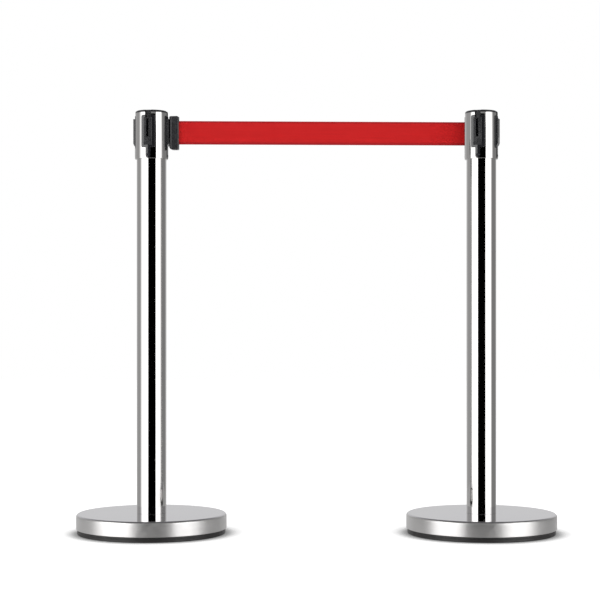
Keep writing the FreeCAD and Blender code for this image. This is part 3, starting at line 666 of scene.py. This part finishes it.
# ---------------------------------------------------------------- posts
def tube(side, steel):
    outline = [
        (TUBE_BORE, BASE_HEIGHT),
        (TUBE_RADIUS, BASE_HEIGHT),
        (TUBE_RADIUS, TUBE_TOP),
        (TUBE_BORE, TUBE_TOP),
    ]
    mesh = on_post(lathe(outline, {1: SMALL_ROUND, 2: SMALL_ROUND}, TUBE_STEPS), side)
    piece = as_object(f"{side}_tube_polished", mesh)
    smooth_by_size(piece)
    dress(piece, f"{side}_stanchion", "polished_steel", steel)
    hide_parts(f"{side}_tube")


def base_cover(side, mirror, brushed):
    """Pressed cover: polished top, rolled corner and a brushed wall with a rounded lower edge."""
    under = BASE_HEIGHT - COVER_SHEET
    outline = [
        (BOLT_HOLE, BASE_HEIGHT),
        (COVER_RADIUS, BASE_HEIGHT),
        (COVER_RADIUS, RING_HEIGHT),
        (COVER_WALL_INNER, RING_HEIGHT),
        (COVER_WALL_INNER, under),
        (BOLT_HOLE, under),
    ]
    rounds = {1: COVER_CORNER, 2: COVER_FOOT, 4: COVER_CORNER - COVER_SHEET}
    mesh = on_post(lathe(outline, rounds, BASE_STEPS), side)
    for face in mesh.faces:
        face.material_index = int(abs(face.normal.z) < WALL_RISE)
    piece = as_object(f"{side}_base_cover_pressed", mesh)
    smooth_by_size(piece)
    dress(piece, f"{side}_stanchion", "polished_steel", mirror, brushed)
    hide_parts(f"{side}_base_cover")


def floor_ring(side, rubber):
    """Rubber foot ring with a shallow groove round it."""
    outline = [
        (RING_INNER, 0),
        (RING_OUTER, 0),
        (RING_OUTER, GROOVE_LOW),
        (RING_OUTER - GROOVE_DEPTH, GROOVE_LOW + GROOVE_SLOPE),
        (RING_OUTER - GROOVE_DEPTH, GROOVE_HIGH - GROOVE_SLOPE),
        (RING_OUTER, GROOVE_HIGH),
        (RING_OUTER, RING_HEIGHT),
        (RING_LIP_OUTER, RING_HEIGHT),
        (RING_LIP_OUTER, RING_LIP_TOP),
        (RING_LIP_INNER, RING_LIP_TOP),
        (RING_LIP_INNER, RING_SOLE),
        (RING_INNER, RING_SOLE),
    ]
    rounds = {1: RING_FOOT, 2: SMALL_ROUND, 5: SMALL_ROUND}
    mesh = on_post(lathe(outline, rounds, BASE_STEPS), side)
    piece = as_object(f"{side}_foot_ring", mesh)
    smooth_by_size(piece)
    dress(piece, f"{side}_stanchion", "rubber", rubber)
    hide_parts(f"{side}_floor_ring")


def window_cutter(half, notch):
    """What a port takes out of the shell: the window, and the way in over it where it is a receiver."""
    outline = [(half, WINDOW_LOW), (half, WINDOW_HIGH), (-half, WINDOW_HIGH), (-half, WINDOW_LOW)]
    rounds = {0: WINDOW_CORNER, 1: WINDOW_CORNER, 2: WINDOW_CORNER, 3: WINDOW_CORNER}
    if notch:
        over = SHELL_TOP + CUT_OVER
        way = [
            (NOTCH_HALF, WINDOW_HIGH),
            (NOTCH_HALF, over),
            (-NOTCH_HALF, over),
            (-NOTCH_HALF, WINDOW_HIGH),
        ]
        outline = [*outline[:2], *way, *outline[2:]]
        rounds = {0: WINDOW_CORNER, 1: WINDOW_CORNER, 6: WINDOW_CORNER, 7: WINDOW_CORNER}
    return pushed_out(outline, rounds, SLEEVE_BORE - WINDOW_HALF, PLATE_RADIUS + CUT_OVER)


def tongue_cutter():
    """The round-ended seat of a plate's tongue."""
    low = TONGUE_TIP - TONGUE_GAP
    high = WINDOW_LOW + CUT_OVER
    outline = [(TONGUE_HALF, low), (TONGUE_HALF, high), (-TONGUE_HALF, high), (-TONGUE_HALF, low)]
    tip = TONGUE_HALF * 0.999  # short of a half circle, so that the two rounds don't meet
    return pushed_out(outline, {0: tip, 3: tip}, TONGUE_FLOOR, PLATE_RADIUS + CUT_OVER)


def head_shell(side, steel):
    step = TUBE_TOP + STEP_GAP
    outline = [
        (SLEEVE_BORE, SHELL_BOTTOM),
        (SHELL_RADIUS, SHELL_BOTTOM),
        (SHELL_RADIUS, SHELL_TOP),
        (SHELL_BORE, SHELL_TOP),
        (SHELL_BORE, step),
        (SLEEVE_BORE, step),
    ]
    way = MOUTH_HEADING[side]
    mesh = on_post(lathe(outline, {1: SHELL_EDGE, 2: SHELL_EDGE}, SHELL_STEPS), side)
    piece = as_object(f"{side}_head_sleeve", mesh)
    cutters = []
    for angle in PORT_ANGLES:
        half = WINDOW_HALF if angle else MOUTH_HALF
        for bar in (window_cutter(half, bool(angle)), tongue_cutter()):
            cutters.append(as_object("cutter", on_post(bar, side, way + angle)))
    cut_away(piece, cutters)
    dress(piece, f"{side}_stanchion", "polished_steel", steel)
    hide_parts(f"{side}_head_shell")


# ---------------------------------------------------------------- belts
def webbing(start, angle, moves):
    """An upright strip. A move is ("run", length, steps) or ("bend", radius, angle).
    Returns its mesh, and the point and heading at its end."""
    mesh = bmesh.new()
    point = Vector((start[0], start[1], 0))
    low = mesh.verts.new((point.x, point.y, BELT_LOW))
    high = mesh.verts.new((point.x, point.y, BELT_HIGH))
    edge = mesh.edges.new((low, high))
    bmesh.ops.subdivide_edges(mesh, edges=[edge], cuts=BELT_ROWS - 1)
    rim = mesh.edges[:]
    for move in moves:
        if move[0] == "run":
            for _ in range(move[2]):
                out = bmesh.ops.extrude_edge_only(mesh, edges=rim)["geom"]
                rim = [part for part in out if isinstance(part, bmesh.types.BMEdge)]
                step = heading(angle) * (move[1] / move[2])
                ahead = [part for part in out if isinstance(part, bmesh.types.BMVert)]
                bmesh.ops.translate(mesh, vec=step, verts=ahead)
                point += step
        else:
            radius, swing = move[1:]
            centre = point + heading(angle + math.copysign(90, swing)) * radius
            verts = list(dict.fromkeys(v for e in rim for v in e.verts))
            turn = math.radians(swing)
            steps = max(FEWEST_STEPS, round(abs(swing) / BEND_STEP))
            spun = bmesh.ops.spin(
                mesh, geom=verts + rim, cent=centre, axis=(0, 0, 1), angle=turn, steps=steps
            )
            rim = [part for part in spun["geom_last"] if isinstance(part, bmesh.types.BMEdge)]
            point = centre + Matrix.Rotation(turn, 3, "Z") @ (point - centre)
            angle += swing
    return mesh, point, angle


def leaving(distance):
    """How the belt leaves a roll at that distance: the angle, the run to the lip and the turn round it."""
    span = math.hypot(LIP_REACH, LIP_CENTRE)
    tilt = math.degrees(math.atan2(LIP_CENTRE, LIP_REACH))
    crossing = math.degrees(math.asin((distance + LIP_CENTRE) / span))
    run = math.sqrt(span**2 - (distance + LIP_CENTRE) ** 2)
    return 90.0 + tilt - crossing, run, crossing - tilt


def round_pin(length):
    """Moves that reach a pin straight ahead at that distance and loop round it."""
    both = PIN_LOOP + PIN_EASE
    ahead = math.sqrt(both**2 - PIN_EASE**2)
    ease = 90 - math.degrees(math.asin(PIN_EASE / both))
    return [("run", length - ahead, 12), ("bend", PIN_EASE, -ease), ("bend", PIN_LOOP, LOOP_TURN)]


def belt_piece(name, node_name, mesh, cloth):
    piece = as_object(name, mesh, sharp=CLOTH_SHARP_ANGLE)
    thick = piece.modifiers.new("thickness", "SOLIDIFY")
    thick.thickness, thick.offset = BELT_THICKNESS * MM, 0
    smooth_by_size(piece)
    dress(piece, None, "red_webbing", cloth)
    piece.visible_glossy = False
    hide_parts(node_name)
    return piece


def out_of_head(side):
    """Where the belt leaves its roll, which way it heads, and its moves to the far side of the lip."""
    angle, run, wrap = leaving(ROLL_LEAVING[side])
    start = heading(angle) * ROLL_LEAVING[side]
    return start, angle - 90, [("run", run, 3), ("bend", LIP_CENTRE, wrap)]


def drawn_belt():
    """The right post's belt: from its roll to near the left post, and the looped end in the hooked clip."""
    way = MOUTH_HEADING["right"]
    spacing = Vector((POST_X["right"] - POST_X["left"], 0, 0))
    from_right = heading(HOOKED_HEADING) * HOOKED_PIN - spacing
    pin = Matrix.Rotation(math.radians(-way), 3, "Z") @ from_right
    bend_start = PLATE_RADIUS + BEND_SETBACK
    to_pin = pin - Vector((bend_start, BELT_BEND, 0))
    swing = math.degrees(math.atan2(to_pin.y, to_pin.x) + math.asin(BELT_BEND / to_pin.length))
    straight = math.sqrt(to_pin.length**2 - BELT_BEND**2)
    start, angle, moves = out_of_head("right")
    moves += [
        ("run", bend_start - LIP_REACH, 2),
        ("bend", BELT_BEND, swing),
        ("run", straight - BELT_END_LENGTH, 40),
    ]
    mesh, split, last = webbing(start, angle, moves)
    mesh = on_post(mesh, "right", way)
    cloth = red_webbing("webbing_drawn", (0, 0, 0), 0.0)
    run = belt_piece("drawn_belt", "right_belt_run", mesh, cloth)
    moves = round_pin(BELT_END_LENGTH)
    mesh = on_post(webbing(split, last, moves)[0], "right", way)
    end = belt_piece("drawn_belt_end", "right_belt_end", mesh, cloth)
    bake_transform(run)
    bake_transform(end)


def parked_belt():
    """The left post's own belt, wound in up to its clip."""
    start, angle, moves = out_of_head("left")
    moves += round_pin(PARKED_PIN - LIP_REACH)
    way = MOUTH_HEADING["left"]
    mesh = on_post(webbing(start, angle, moves)[0], "left", way)
    cloth = red_webbing("webbing_parked", (POST_X["left"] * MM, 0, 0), math.radians(way))
    piece = belt_piece("parked_belt", "left_belt_parked", mesh, cloth)
    centre = Vector((POST_X["left"], 0, 0))
    reaches = (LIP_REACH + PARKED_HELD, PLATE_RADIUS + PARKED_GAP)
    start, end = [(centre + heading(way) * reach) * MM for reach in reaches]
    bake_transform(piece)


# ---------------------------------------------------------------- the whole pair
make_camera()
studio()

BLACK = (0.012, 0.012, 0.014)
FINISHES = {
    "polished_steel": polished_steel("steel_carried", (0, 0, 0), (300.0, 300.0, 4.0)),
    "cast_iron": cast_iron(),
    "rubber": plastic("rubber", (0.016, 0.015, 0.015), (0.05, 0.05, 0.05), 0.42, 0.62, 0.00001, 900.0),
    "black_plastic": plastic("black_satin", BLACK, (0.05, 0.05, 0.055), 0.16, 0.30),
    "case_plastic": plastic("black_case", (0.02, 0.02, 0.022), (0.06, 0.06, 0.06), 0.4, 0.55),
    "spool_plastic": plastic("acetal", (0.55, 0.55, 0.53), (0.65, 0.65, 0.63), 0.35, 0.5),
    "bush_plastic": plastic("nylon", (0.78, 0.76, 0.68), (0.82, 0.8, 0.74), 0.35, 0.5),
    "spring_steel": plain_metal("blued_spring", (0.16, 0.18, 0.25), 0.25, 0.35, (30.0, 30.0, 900.0)),
    "mild_steel": plain_metal("turned_steel", (0.45, 0.44, 0.43), 0.22, 0.34, (60.0, 60.0, 2400.0)),
    "zinc_steel": plain_metal("zinc_plate", (0.52, 0.53, 0.55), 0.25, 0.4, (90.0, 90.0, 90.0)),
    "black_screw": plain_metal("blackened_steel", (0.04, 0.04, 0.045), 0.3, 0.42, (90.0, 90.0, 90.0)),
    "red_webbing": red_webbing("webbing_wound", (0, 0, 0), 0.0),
}
glossy = plastic("black_gloss", BLACK, (0.05, 0.05, 0.055), 0.08, 0.15, ior=1.65)
slots = {row["node"]: row["material_slot"] for row in frame["record"]["subparts"]}
for name, part in frame["nodes"].items():
    in_head = any(word in name for word in ("receiver", "belt_mouth", "top_cap"))
    part.data.materials.clear()
    part.data.materials.append(glossy if in_head else FINISHES[slots[name]])

for side in SIDES:
    axis = (POST_X[side] * MM, 0, 0)
    upright = polished_steel(f"steel_tube_{side}", axis, (900.0, 900.0, 5.0))
    pressed = polished_steel(f"steel_cover_{side}", axis, (30.0, 30.0, 30.0), (0.76, 0.75, 0.785))
    tube(side, upright)
    head_shell(side, upright)
    base_cover(side, pressed, brushed_steel_wall(f"steel_wall_{side}", axis))
    floor_ring(side, FINISHES["rubber"])

drawn_belt()
parked_belt()

bpy.context.scene.view_settings.view_transform = "Standard"
